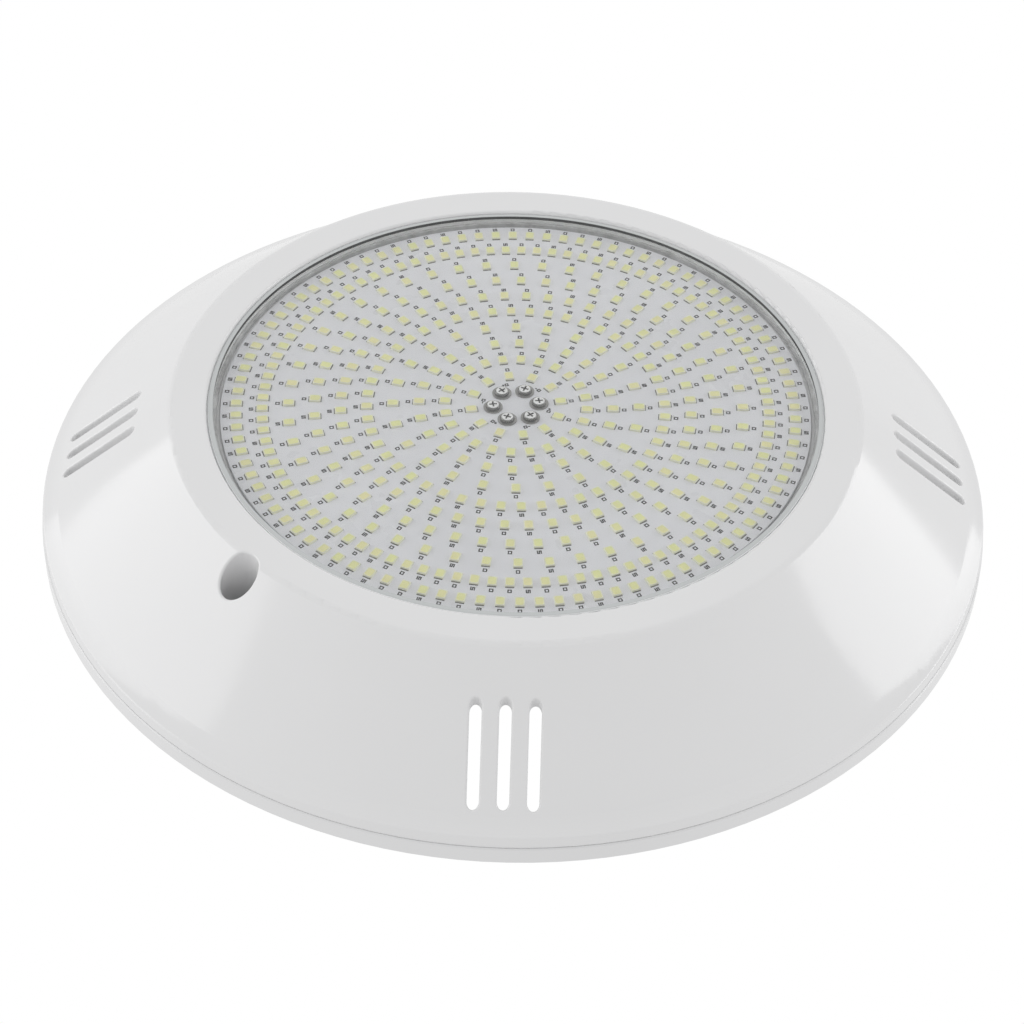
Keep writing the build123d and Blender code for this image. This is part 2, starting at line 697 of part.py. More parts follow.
# ---------------------------------------------------------------- wall bracket
# A ring plate with four wall screw holes, three push-in posts and an arm that carries the
# threaded boss of the lock screw.
arm_width = 18.0
rib_wall = 2.5
post_round = 1.5
with BuildPart() as wall_bracket:
    with BuildSketch(Plane.XY):
        Circle(bracket_r)
        with Locations(polar(lock_r / 2, lock_angle)):
            Rectangle(lock_r, arm_width, rotation=lock_angle)
        with Locations(lock_place):
            Circle(arm_width / 2)
        Circle(bracket_window_r, mode=Mode.SUBTRACT)
        with PolarLocations(wall_hole_pcd / 2, 4):
            Circle(wall_hole_r, mode=Mode.SUBTRACT)
    extrude(amount=bracket_thick)
    with BuildSketch(Plane.XY.offset(bracket_thick)):
        with Locations(polar(lock_r / 2, lock_angle)):
            Rectangle(lock_r, arm_width, rotation=lock_angle)
            Rectangle(lock_r, arm_width - 2 * rib_wall, rotation=lock_angle, mode=Mode.SUBTRACT)
        Circle(bracket_r)
        Circle(bracket_r - rib_wall, mode=Mode.SUBTRACT)
        Circle(bracket_window_r + rib_wall)
        Circle(bracket_window_r, mode=Mode.SUBTRACT)
    extrude(amount=bracket_rib_top - bracket_thick)
    with BuildSketch(Plane.XY.offset(bracket_thick)):
        for angle in post_angles:
            with Locations(polar(post_r, angle)):
                Circle(post_rod_r)
    extrude(amount=post_top - bracket_thick)
    fillet(wall_bracket.faces().sort_by(Axis.Z)[-len(post_angles):].edges(), post_round)
    with BuildSketch(Plane.XY.offset(bracket_thick)):
        with Locations(lock_place):
            Circle(boss_r)
    extrude(amount=boss_top - bracket_thick)
    with BuildSketch(Plane.XY.offset(insert_bottom)):
        with Locations(lock_place):
            Circle(insert_r)
    extrude(amount=boss_top - insert_bottom, mode=Mode.SUBTRACT)
wall_bracket.part.label = "wall_bracket"
export_step(wall_bracket.part, "parts/wall_bracket.step")

with BuildPart() as lock_insert:
    with BuildSketch(Plane.XY.offset(insert_bottom)):
        with Locations(lock_place):
            Circle(insert_r)
            Circle(lock_thread_r + 0.08, mode=Mode.SUBTRACT)
    extrude(amount=boss_top - insert_bottom)
lock_insert.part.label = "lock_insert"
export_step(lock_insert.part, "parts/lock_insert.step")

# ---------------------------------------------------------------- lock screw
lock_washer_thick = 0.8
lock_head_r = 4.0
lock_head_high = 2.8
lock_head_z = lock_floor + lock_washer_thick
lock_tip = 4.2
lock_washer_r = 4.6
lock_cross_long = 4.4
lock_cross_wide = 0.9
lock_cross_deep = 1.4
with BuildPart() as lock_washer:
    with BuildSketch(Plane.XY.offset(lock_floor)):
        with Locations(lock_place):
            Circle(lock_washer_r)
            Circle(lock_thread_r + 0.08, mode=Mode.SUBTRACT)
    extrude(amount=lock_washer_thick)
lock_washer.part.label = "lock_washer"
export_step(lock_washer.part, "parts/lock_washer.step")

with BuildPart() as lock_screw:
    with BuildSketch(Plane.XY.offset(lock_head_z)):
        with Locations(lock_place):
            Circle(lock_head_r)
    extrude(amount=lock_head_high)
    fillet(lock_screw.faces().sort_by(Axis.Z)[-1].edges(), 1.0)
    with BuildSketch(Plane.XY.offset(lock_head_z + lock_head_high - lock_cross_deep)):
        with Locations(lock_place):
            Rectangle(lock_cross_long, lock_cross_wide)
            Rectangle(lock_cross_wide, lock_cross_long)
    extrude(amount=lock_head_high, mode=Mode.SUBTRACT)
    with BuildSketch(Plane.XY.offset(lock_tip)):
        with Locations(lock_place):
            Circle(lock_thread_r)
    extrude(amount=lock_head_z - lock_tip)
    chamfer(lock_screw.faces().sort_by(Axis.Z)[0].edges(), 0.5)
lock_screw.part.label = "lock_screw"
export_step(lock_screw.part, "parts/lock_screw.step")
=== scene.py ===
import math

import bmesh
import bpy
from mathutils import Matrix, Vector


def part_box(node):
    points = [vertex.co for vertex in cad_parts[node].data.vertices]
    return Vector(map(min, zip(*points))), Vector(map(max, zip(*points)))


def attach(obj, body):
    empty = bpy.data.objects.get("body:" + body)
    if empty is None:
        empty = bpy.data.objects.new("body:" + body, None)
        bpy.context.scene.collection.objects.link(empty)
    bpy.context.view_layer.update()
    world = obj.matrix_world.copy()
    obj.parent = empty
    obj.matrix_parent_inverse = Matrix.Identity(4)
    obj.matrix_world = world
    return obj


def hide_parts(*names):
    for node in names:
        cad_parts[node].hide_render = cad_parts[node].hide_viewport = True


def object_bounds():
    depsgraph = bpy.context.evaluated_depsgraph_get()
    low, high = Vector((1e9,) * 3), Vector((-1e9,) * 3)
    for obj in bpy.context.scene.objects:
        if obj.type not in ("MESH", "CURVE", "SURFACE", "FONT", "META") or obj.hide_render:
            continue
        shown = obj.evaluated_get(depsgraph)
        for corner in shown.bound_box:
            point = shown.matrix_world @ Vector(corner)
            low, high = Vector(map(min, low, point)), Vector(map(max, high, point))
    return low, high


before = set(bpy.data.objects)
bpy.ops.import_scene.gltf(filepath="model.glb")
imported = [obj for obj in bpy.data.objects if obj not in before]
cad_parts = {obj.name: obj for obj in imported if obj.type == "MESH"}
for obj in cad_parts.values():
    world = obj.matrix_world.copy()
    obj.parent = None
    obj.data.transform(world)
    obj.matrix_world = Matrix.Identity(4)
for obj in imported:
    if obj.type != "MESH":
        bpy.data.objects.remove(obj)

# A surface-mounted underwater pool light, lying on its back on a pale floor, built up from the
# wall bracket to the lens and the front shroud. Lengths are in metres; mm turns millimetres into them.
mm = 0.001
cad_low, cad_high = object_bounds()


# ---------------------------------------------------------------- wall bracket
# The plate that is screwed to the pool wall: one ABS moulding with three posts that the lamp is
# pushed onto and an arm for the lock screw. It comes out of the tool with a fine matt grain.
def add_node(tree, kind, inputs=(), **settings):
    """A node with its settings, and its inputs set to values or linked to sockets."""
    made = tree.nodes.new(kind)
    for name, value in settings.items():
        setattr(made, name, value)
    for name, value in dict(inputs).items():
        socket = made.inputs[name]
        if isinstance(value, bpy.types.NodeSocket):
            tree.links.new(value, socket)
        else:
            socket.default_value = value
    return made


def new_material(name, **shader_inputs):
    """A material with one Principled shader: returns the material, its tree and the shader."""
    material = bpy.data.materials.new(name)
    material.use_nodes = True
    tree = material.node_tree
    shader = tree.nodes["Principled BSDF"]
    for socket, value in shader_inputs.items():
        shader.inputs[socket.replace("_", " ")].default_value = value
    return material, tree, shader


def noise(tree, scale, detail=3.0):
    """Fractal noise on the piece's own coordinates, with this many waves to the metre."""
    place = add_node(tree, "ShaderNodeTexCoord")
    pattern = {"Vector": place.outputs["Object"], "Scale": scale, "Detail": detail}
    return add_node(tree, "ShaderNodeTexNoise", pattern).outputs["Fac"]


def vary(tree, fac, low, high):
    """A value from low to high that follows a noise, most of which lies in its middle part."""
    noise_low, noise_high = 0.3, 0.7
    limits = {"Value": fac, "From Min": noise_low, "From Max": noise_high,
              "To Min": low, "To Max": high}
    return add_node(tree, "ShaderNodeMapRange", limits).outputs["Result"]


def blend_colours(tree, fac, low, high):
    """The colour low where fac is 0 and high where it is 1."""
    return add_node(tree, "ShaderNodeMix", {0: fac, 6: low, 7: high}, data_type="RGBA").outputs[2]


def tint(tree, fac, colour, amount):
    """A colour that drifts lighter and darker by this share, following a noise."""
    low = [channel * (1 - amount) for channel in colour] + [1]
    high = [min(1, channel * (1 + amount)) for channel in colour] + [1]
    return blend_colours(tree, vary(tree, fac, 0, 1), low, high)


def patchy_gloss(tree, shader, fac, rough, share):
    """Roughness that goes up and down by this share, following a noise."""
    gloss = vary(tree, fac, rough * (1 - share), rough * (1 + share))
    tree.links.new(gloss, shader.inputs["Roughness"])


def relief(tree, shader, fac, depth):
    """A fine relief of this depth on the surface."""
    bump = add_node(tree, "ShaderNodeBump", {"Height": fac, "Distance": depth, "Strength": 1.0})
    tree.links.new(bump.outputs["Normal"], shader.inputs["Normal"])


plastic_ior = 1.53


def moulded_plastic(name, colour, rough, drift=0.015, grain=900, grain_deep=0.01 * mm):
    """Injection-moulded plastic: slow drift of colour, patchy gloss and a fine surface grain."""
    slow, patches, gloss_share, grain_detail = 22, 90, 0.12, 2.0
    material, tree, shader = new_material(name, IOR=plastic_ior)
    tree.links.new(tint(tree, noise(tree, slow), colour, drift), shader.inputs["Base Color"])
    patchy_gloss(tree, shader, noise(tree, patches), rough, gloss_share)
    relief(tree, shader, noise(tree, grain, grain_detail), grain_deep)
    return material


def finish_nodes(material, *names):
    """Gives these CAD nodes their material."""
    for name in names:
        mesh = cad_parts[name].data
        mesh.materials.clear()
        mesh.materials.append(material)


bracket_abs = moulded_plastic("bracket_abs", (0.8, 0.8, 0.795), rough=0.46, grain=1500,
                              grain_deep=0.05 * mm)
finish_nodes(bracket_abs, "wall_bracket")


# ---------------------------------------------------------------- brass insert
# A turned and knurled brass insert, pressed into the boss at the end of the bracket's arm. The lock
# screw runs down into its thread.
def metal(name, colour, rough, stretch=(1, 1, 0.08)):
    """Bare metal with fine tool marks, drawn out where the stretch is less than one."""
    streaks, streak_detail, streak_deep = 1400, 4.0, 0.004 * mm
    streak_tint, streak_gloss = 0.08, 0.25
    material, tree, shader = new_material(name, Metallic=1.0)
    place = add_node(tree, "ShaderNodeTexCoord")
    drawn = add_node(tree, "ShaderNodeMapping", {"Vector": place.outputs["Object"], "Scale": stretch})
    pattern = {"Vector": drawn.outputs["Vector"], "Scale": streaks, "Detail": streak_detail}
    marks = add_node(tree, "ShaderNodeTexNoise", pattern).outputs["Fac"]
    tree.links.new(tint(tree, marks, colour, streak_tint), shader.inputs["Base Color"])
    patchy_gloss(tree, shader, marks, rough, streak_gloss)
    relief(tree, shader, marks, streak_deep)
    return material


brass = metal("brass", (0.72, 0.52, 0.24), rough=0.3)
finish_nodes(brass, "lock_insert")

# ---------------------------------------------------------------- lamp body
# The dish that holds the two boards, injection-moulded in white ABS with three sockets on its back.
# Rubber grommets in the sockets grip the bracket's posts.
body_abs = moulded_plastic("body_abs", (0.82, 0.82, 0.82), rough=0.34, grain=1300,
                           grain_deep=0.03 * mm)
finish_nodes(body_abs, "lamp_body")


def rubber(name, colour, rough):
    """Moulded rubber: dull, with a bloom that makes it paler in patches."""
    blooms, bloom_detail, bloom_tint, bloom_gloss = 260, 5.0, 0.25, 0.1
    grain, grain_deep = 2600, 0.02 * mm
    material, tree, shader = new_material(name, IOR=1.5)
    bloom = noise(tree, blooms, bloom_detail)
    tree.links.new(tint(tree, bloom, colour, bloom_tint), shader.inputs["Base Color"])
    patchy_gloss(tree, shader, bloom, rough, bloom_gloss)
    relief(tree, shader, noise(tree, grain), grain_deep)
    return material


black_rubber = rubber("black_rubber", (0.022, 0.022, 0.024), rough=0.62)
finish_nodes(black_rubber, "mount_grommets", "gland_insert", "gland_sealing_ring")

# ---------------------------------------------------------------- cable gland
# A moulded nylon gland in the back of the lamp body, where the supply cable comes in. A lock nut
# inside pulls its flange down on a flat sealing ring, and its cap nut squeezes a rubber insert.
gland_nylon = moulded_plastic("gland_nylon", (0.045, 0.046, 0.05), rough=0.38, grain=1700,
                              grain_deep=0.03 * mm)
finish_nodes(gland_nylon, "gland_body", "gland_cap_nut", "gland_lock_nut")

# ---------------------------------------------------------------- driver board and its parts
# A glass-fibre board under a green solder mask, screwed to four bosses in the lamp body. The
# supply parts are soldered on it.
laminate = moulded_plastic("driver_laminate", (0.02, 0.13, 0.06), rough=0.3, drift=0.12, grain=2400,
                           grain_deep=0.03 * mm)
finish_nodes(laminate, "driver_board")
black_epoxy = moulded_plastic("black_epoxy", (0.02, 0.02, 0.022), rough=0.4, drift=0.1, grain=3000,
                              grain_deep=0.03 * mm)
finish_nodes(black_epoxy, "bridge_rectifier", "driver_chip", "switch_transistors")
sleeve = moulded_plastic("capacitor_sleeve", (0.02, 0.035, 0.11), rough=0.25, drift=0.05)
finish_nodes(sleeve, "filter_capacitors")
ferrite = moulded_plastic("ferrite", (0.05, 0.048, 0.047), rough=0.6, drift=0.2, grain=4000,
                          grain_deep=0.05 * mm)
finish_nodes(ferrite, "choke_core")
finish_nodes(metal("copper_wire", (0.7, 0.3, 0.16), rough=0.28, stretch=(0.1, 0.1, 4)), "choke_winding")
coat = moulded_plastic("varistor_coat", (0.03, 0.12, 0.35), rough=0.35, drift=0.1)
finish_nodes(coat, "surge_varistor")
block_green = moulded_plastic("terminal_green", (0.03, 0.24, 0.08), rough=0.35)
finish_nodes(block_green, "supply_terminal_block")

# ---------------------------------------------------------------- screws, washers and pillars
# Stainless screws hold the lamp body, the flange ring and the driver board; zinc-plated feed screws
# and washers clamp the LED board onto brass pillars. A nylon washer keeps the lock screw captive.
stainless = metal("stainless", (0.6, 0.59, 0.58), rough=0.3)
washer_steel = metal("washer_steel", (0.35, 0.345, 0.335), rough=0.4, stretch=(1, 1, 1))
washer_nylon = moulded_plastic("washer_nylon", (0.72, 0.71, 0.66), rough=0.45, drift=0.03)
finish_nodes(stainless, "body_screws", "flange_screws", "lock_screw", "driver_screws")
finish_nodes(brass, "terminal_pillars")
finish_nodes(washer_steel, "terminal_washers")
finish_nodes(washer_nylon, "lock_washer")

# The feed screws are painted with light and shade by height: painted lit and bright on top, and painted
# dark as shade below and in their crosses.
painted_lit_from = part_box("terminal_screws")[1].z - 0.01 * mm
painted_shade_below = painted_lit_from - 0.13 * mm
painted_lit_zinc = (0.85, 0.85, 0.84)
painted_shade_zinc = (0.15, 0.15, 0.145, 1)
zinc_waves, zinc_drift = 900, 0.08
screw_steel, screw_tree, screw_shader = new_material("screw_steel", Metallic=1.0, Roughness=0.17)
on_screw = add_node(screw_tree, "ShaderNodeTexCoord").outputs["Object"]
screw_height = add_node(screw_tree, "ShaderNodeSeparateXYZ", {"Vector": on_screw}).outputs["Z"]
brightness = {"Value": screw_height, "From Min": painted_shade_below, "From Max": painted_lit_from}
bright = add_node(screw_tree, "ShaderNodeMapRange", brightness).outputs["Result"]
painted_lit_tone = tint(screw_tree, noise(screw_tree, zinc_waves), painted_lit_zinc, zinc_drift)
# Painted shade below the top of each screw and in its cross, and a painted lit colour on top.
painted_light_and_shade = blend_colours(screw_tree, bright, painted_shade_zinc, painted_lit_tone)
screw_tree.links.new(painted_light_and_shade, screw_shader.inputs["Base Color"])
finish_nodes(screw_steel, "terminal_screws")

# ---------------------------------------------------------------- LED board
# A round aluminium-core board under a white solder mask that has gone faintly lilac. It lies in the
# mouth of the lamp body, behind the lens.
board_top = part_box("led_board")[1].z
board_mask = moulded_plastic("board_mask", (0.9, 0.9, 0.935), rough=0.3, drift=0.02, grain=2600,
                             grain_deep=0.01 * mm)
finish_nodes(board_mask, "led_board")


def tidy_mesh(name, build):
    """An object whose mesh is made by build(bm), with its faces turned outwards."""
    bm = bmesh.new()
    build(bm)
    bmesh.ops.recalc_face_normals(bm, faces=bm.faces)
    mesh = bpy.data.meshes.new(name)
    bm.to_mesh(mesh)
    bm.free()
    made = bpy.data.objects.new(name, mesh)
    bpy.context.scene.collection.objects.link(made)
    return made


def stacked_outline(bm, outlines):
    """A closed solid through outlines of equally many points, one above or inside the other."""
    rings = [[bm.verts.new(point) for point in outline] for outline in outlines]
    for below, above in zip(rings, rings[1:]):
        for i in range(len(below)):
            j = (i + 1) % len(below)
            bm.faces.new((below[i], below[j], above[j], above[i]))
    bm.faces.new(rings[0])
    bm.faces.new(rings[-1])


def cut_rectangle(long, wide, cut, z):
    """The eight corners of a rectangle with its corners cut off."""
    a, b = long / 2, wide / 2
    corners = [(a, -b + cut), (a, b - cut), (a - cut, b), (-a + cut, b),
               (-a, b - cut), (-a, -b + cut), (-a + cut, -b), (a - cut, -b)]
    return [Vector((x, y, z)) for x, y in corners]


# ---------------------------------------------------------------- rings of LEDs
# Ten rings of surface-mount LEDs: a cream package with a sunk window of yellow phosphor, soldered
# at its two ends. Each ring in is one pitch smaller and turned back a little.
ring_r = 84.3 * mm
ring_pitch = 7.85 * mm
led_counts = [96, 96, 48, 48, 48, 48, 24, 24, 24, 12]
first_led = math.radians(2.0)
ring_twist = math.radians(2.0)
led_long = 3.5 * mm
led_wide = 2.8 * mm
led_low, led_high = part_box("led_ring_01")
led_thick = led_high.z - led_low.z


def ring_tree():
    """Sets copies of one part round a circle, each turned to face outwards, with a tint of its own."""
    tree = bpy.data.node_groups.new("ring_of_parts", "GeometryNodeTree")
    inputs = {"Geometry": "Geometry", "Part": "Object", "Count": "Int", "Radius": "Float",
              "Start": "Float", "Height": "Float", "Every": "Int", "First": "Int", "Seed": "Int",
              "Material": "Material"}
    sockets = {}
    for name, kind in inputs.items():
        socket = tree.interface.new_socket(name, in_out="INPUT", socket_type="NodeSocket" + kind)
        sockets[name] = socket.identifier
    tree.interface.new_socket("Geometry", in_out="OUTPUT", socket_type="NodeSocketGeometry")
    given = tree.nodes.new("NodeGroupInput").outputs
    index = tree.nodes.new("GeometryNodeInputIndex").outputs["Index"]

    def maths(operation, first, second=0.0):
        return add_node(tree, "ShaderNodeMath", {0: first, 1: second}, operation=operation).outputs[0]

    step = maths("DIVIDE", 2 * math.pi, given["Count"])
    angle = maths("ADD", given["Start"], maths("MULTIPLY", index, step))
    x = maths("MULTIPLY", given["Radius"], maths("COSINE", angle))
    y = maths("MULTIPLY", given["Radius"], maths("SINE", angle))
    place = add_node(tree, "ShaderNodeCombineXYZ", {"X": x, "Y": y, "Z": given["Height"]})
    points = add_node(tree, "GeometryNodePoints",
                      {"Count": given["Count"], "Position": place.outputs[0]})
    taken = maths("COMPARE", maths("MODULO", index, given["Every"]), given["First"])
    part = add_node(tree, "GeometryNodeObjectInfo", {"Object": given["Part"]})
    turn = add_node(tree, "ShaderNodeCombineXYZ", {"Z": angle})
    copies = add_node(tree, "GeometryNodeInstanceOnPoints",
                      {"Points": points.outputs[0], "Selection": taken,
                       "Instance": part.outputs["Geometry"], "Rotation": turn.outputs[0]})
    chance = add_node(tree, "FunctionNodeRandomValue", {"ID": index, "Seed": given["Seed"]})
    marked = add_node(tree, "GeometryNodeStoreNamedAttribute",
                      {"Geometry": copies.outputs[0], "Name": "tint", "Value": chance.outputs[1]},
                      domain="INSTANCE")
    real = add_node(tree, "GeometryNodeRealizeInstances", {"Geometry": marked.outputs[0]})
    painted = add_node(tree, "GeometryNodeSetMaterial",
                       {"Geometry": real.outputs[0], "Material": given["Material"]})
    both = tree.nodes.new("GeometryNodeJoinGeometry")
    tree.links.new(painted.outputs[0], both.inputs[0])
    tree.links.new(given["Geometry"], both.inputs[0])
    last = tree.nodes.new("NodeGroupOutput")
    tree.links.new(both.outputs[0], last.inputs[0])
    return tree, sockets


ring_of_parts, ring_sockets = ring_tree()


def apply_trees(holder):
    """Turns what the object's modifiers make into its own plain mesh."""
    bpy.context.view_layer.update()
    seen = holder.evaluated_get(bpy.context.evaluated_depsgraph_get())
    mesh = bpy.data.meshes.new_from_object(seen)
    holder.modifiers.clear()
    holder.data = mesh
    mesh.name = holder.name


seeds_per_ring = 7


def ring_up(name, parts, rings, material, body, every=None):
    """One piece made of parts set round rings: each ring is (count, radius, start), and the parts
    take turns round it, or come at every so many places."""
    holder = tidy_mesh(name, lambda bm: None)
    for number, (count, radius, start) in enumerate(rings):
        for turn, part in enumerate(parts):
            modifier = holder.modifiers.new(f"ring_{number}_{turn}", "NODES")
            modifier.node_group = ring_of_parts
            sizes = {"Part": part, "Count": count, "Radius": radius, "Start": start, "Height": 0.0,
                     "Every": every or len(parts), "First": turn,
                     "Seed": number * seeds_per_ring + turn, "Material": material}
            for socket, value in sizes.items():
                modifier[ring_sockets[socket]] = value
    apply_trees(holder)
    for part in parts:
        bpy.data.objects.remove(part)
    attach(holder, body)
    return holder


led_rings = []
start = first_led
for number, count in enumerate(led_counts):
    if number > 0:
        start -= ring_twist
        if count != led_counts[number - 1]:
            start += math.pi / count
    led_rings.append((count, ring_r - number * ring_pitch, start))

package_edge = 0.12 * mm
package_draft = 0.1 * mm
package_corner = 0.2 * mm
top_corner = 0.25 * mm
package_top = board_top + led_thick

window_long = 2.95 * mm
window_wide = 2.3 * mm
window_deep = 0.16 * mm
window_slope = 0.3 * mm
window_corner = 0.45 * mm
window_floor_corner = 0.4 * mm


def led_outline(long, wide, less, corner, z):
    """A rectangle this much less than long and wide, with its corners cut off, at height z."""
    return cut_rectangle(long - less, wide - less, corner, z)


def window_floor():
    """The outline of the sunk window's floor."""
    return led_outline(window_long, window_wide, window_slope, window_floor_corner,
                       package_top - window_deep)


def build_package(bm):
    stacked_outline(bm, [
        led_outline(led_long, led_wide, package_draft, package_corner, board_top),
        led_outline(led_long, led_wide, 0, package_corner, board_top + led_thick / 2),
        led_outline(led_long, led_wide, package_edge / 2, package_corner, package_top - package_edge),
        led_outline(led_long, led_wide, 2 * package_edge, top_corner, package_top),
        led_outline(window_long, window_wide, 0, window_corner, package_top),
        window_floor(),
    ])


# The phosphor fills the window and bulges to just under the package's top.
phosphor_gap = 0.1 * mm
phosphor_corner = 0.42 * mm
phosphor_sunk = 0.05 * mm
bulge_share = 0.6
bulge_corner = 0.3 * mm
bulge_sunk = 0.02 * mm


def build_window(bm):
    stacked_outline(bm, [
        window_floor(),
        led_outline(window_long, window_wide, phosphor_gap, phosphor_corner,
                    package_top - phosphor_sunk),
        led_outline(window_long * bulge_share, window_wide * bulge_share, 0, bulge_corner,
                    package_top - bulge_sunk),
    ])


solder_wide = 2.55 * mm
solder_out = 0.32 * mm
solder_high = 0.16 * mm
solder_under = 0.05 * mm


def build_solder(bm):
    # A concave fillet at each end of the package, from its side down to the pad.
    profile = [(0, 1.0), (0.25, 0.55), (0.55, 0.22), (1.0, 0.1)]
    for end in (-1, 1):
        edge = end * (led_long / 2 - solder_under)
        rows = []
        for side in (-1, 1):
            y = side * solder_wide / 2
            row = [bm.verts.new((edge, y, board_top))]
            row += [bm.verts.new((edge + end * solder_out * out, y, board_top + solder_high * up))
                    for out, up in profile]
            row.append(bm.verts.new((edge + end * solder_out, y, board_top)))
            rows.append(row)
        for i in range(len(rows[0])):
            j = (i + 1) % len(rows[0])
            bm.faces.new((rows[0][i], rows[0][j], rows[1][j], rows[1][i]))
        bm.faces.new(rows[0])
        bm.faces.new(rows[1])


def tinted(name, low, high, rough, **shader_inputs):
    """A material whose colour goes from low to high with each part's own tint."""
    grain, grain_deep, gloss_share = 3500, 0.01 * mm, 0.15
    material, tree, shader = new_material(name, **shader_inputs)
    chance = add_node(tree, "ShaderNodeAttribute", attribute_name="tint").outputs["Fac"]
    tree.links.new(blend_colours(tree, chance, [*low, 1], [*high, 1]), shader.inputs["Base Color"])
    fine = noise(tree, grain)
    patchy_gloss(tree, shader, fine, rough, gloss_share)
    relief(tree, shader, fine, grain_deep)
    return material


package_cream = tinted("package_cream", (0.93, 0.93, 0.72), (0.95, 0.94, 0.76), rough=0.4, IOR=1.5)
phosphor = tinted("phosphor", (0.95, 0.97, 0.45), (0.98, 0.93, 0.49), rough=0.25, IOR=1.45)
# The solder is painted dark, as the shade at the ends of each package.
solder_tin = tinted("solder_tin", (0.1, 0.1, 0.1), (0.22, 0.22, 0.21), rough=0.42, Metallic=0.6)

packages = ring_up("led_packages", [tidy_mesh("package", build_package)], led_rings, package_cream,
                   "lamp")
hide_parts(*[f"led_ring_{number + 1:02d}" for number in range(len(led_counts))])
ring_up("led_windows", [tidy_mesh("window", build_window)], led_rings, phosphor, "lamp")
ring_up("led_solder", [tidy_mesh("solder", build_solder)], led_rings, solder_tin, "lamp")

# A few beads of solder have set beside the pads, one for every seventh LED, painted near white as
# glints: a painted highlight.
beads_every = 7
bead_r = 0.34 * mm
bead_stretch = 1.4
bead_out = led_long / 2 + 0.75 * mm
bead_side = 0.75 * mm
bead_steps = [(0, 1.0), (0.12 * mm, 0.95), (0.22 * mm, 0.6)]


def build_bead(bm):
    # Each step of the bead is its height and its share of the full radius.
    sides = 8
    rows = []
    for up, share in bead_steps:
        row = []
        for i in range(sides):
            angle = i * 2 * math.pi / sides
            row.append(Vector((bead_out + share * bead_r * math.cos(angle),
                               bead_side + share * bead_stretch * bead_r * math.sin(angle),
                               board_top + up)))
        rows.append(row)
    stacked_outline(bm, rows)


# Painted highlight: the beads are near white, as glints.
bead_tin = tinted("bead_tin", (0.93, 0.93, 0.93), (0.97, 0.97, 0.97), rough=0.2, Metallic=0.3)
ring_up("solder_beads", [tidy_mesh("bead", build_bead)], led_rings, bead_tin, "lamp",
        every=beads_every)

# ---------------------------------------------------------------- printing on the LED board
# Black component marks, screen-printed on the mask just outside every LED: small generic figures
# of a few strokes each.
print_thick = 0.02 * mm
mark_out = 3.35 * mm
mark_size = 1.25 * mm
stroke = 0.36 * mm


def build_strokes(strokes, scale=mark_size, shift=mark_out):
    """Printed strokes: each is (x, y, long in x, long in y) on a mark one unit high."""
    def build(bm):
        for x, y, long, wide in strokes:
            outlines = []
            for z in (board_top, board_top + print_thick):
                outlines.append([Vector((shift + x * scale + a * (long * scale + stroke) / 2,
                                         y * scale + b * (wide * scale + stroke) / 2, z))
                                 for a, b in ((-1, -1), (1, -1), (1, 1), (-1, 1))])
            stacked_outline(bm, outlines)
    return build


square_mark = [(0, -0.36, 0.8, 0), (0, 0.36, 0.8, 0), (-0.4, 0, 0, 0.72), (0.4, 0, 0, 0.72)]
open_mark = [(0, -0.36, 0.8, 0), (-0.4, 0, 0, 0.72), (0.4, 0, 0, 0.72), (0, 0.4, 0.3, 0)]
double_mark = [(0, -0.42, 0.8, 0), (0, 0, 0.8, 0), (0, 0.42, 0.8, 0),
               (-0.4, 0.2, 0, 0.4), (0.4, -0.2, 0, 0.4)]
ink = tinted("board_ink", (0.008, 0.008, 0.01), (0.035, 0.035, 0.04), rough=0.6)
marks = [tidy_mesh("mark", build_strokes(strokes)) for strokes in (square_mark, double_mark, open_mark)]
ring_up("board_print", marks, led_rings, ink, "lamp")

# Beside the six feed screws stand a figure and, in turn, a plus and a minus sign.
feed_count = 6
feed_mark_r = 10.1 * mm
feed_mark_size = 1.1 * mm
feed_start = math.radians(-12.3)
plus_sign = [(0, 1.0, 0.4, 0), (0, 1.0, 0, 0.4)]
minus_sign = [(0, 1.0, 0, 0.4)]
feed_marks = [tidy_mesh("feed_mark", build_strokes(square_mark + sign, feed_mark_size, 0.0))
              for sign in (plus_sign, minus_sign)]
ring_up("feed_print", feed_marks, [(feed_count, feed_mark_r, feed_start)], ink, "lamp")

# ---------------------------------------------------------------- gasket
# A flat ring cut from grey silicone, squeezed between the edge of the lens and the lamp body's
# flange to keep the water out.
finish_nodes(rubber("gasket_silicone", (0.55, 0.55, 0.55), rough=0.4), "lens_gasket")

# ---------------------------------------------------------------- lens
# One clear polycarbonate moulding with a stepped edge that is clamped under the shroud's face ring.
# Its rim, flange and skirt are left matt by the mould and white inside; the front of the rim is painted
# grey as shade.
lens_ior = 1.52
lens_clear = (0.985, 0.99, 0.99)
lens_waves, lens_drift = 40, 0.01
matt_r = 91.1 * mm
matt_front = 43.2 * mm
matt_rough = 0.4
matt_white = (0.96, 0.97, 0.97, 1)
painted_shade_grey = (0.55, 0.57, 0.57, 1)
passed_light = (0.93, 0.94, 0.94, 1)

clear_lens, lens_tree, lens_shader = new_material(
    "clear_lens", IOR=lens_ior, Transmission_Weight=1.0, Roughness=0.0)
haze = tint(lens_tree, noise(lens_tree, lens_waves), lens_clear, lens_drift)
lens_tree.links.new(haze, lens_shader.inputs["Base Color"])


def more_than(tree, value, limit):
    """1 where the value is more than the limit, and 0 elsewhere."""
    return add_node(tree, "ShaderNodeMath", {0: value, 1: limit}, operation="GREATER_THAN").outputs[0]


def mix_shaders(tree, fac, first, second):
    """The first shader where fac is 0 and the second where it is 1."""
    return add_node(tree, "ShaderNodeMixShader", {0: fac, 1: first, 2: second}).outputs[0]


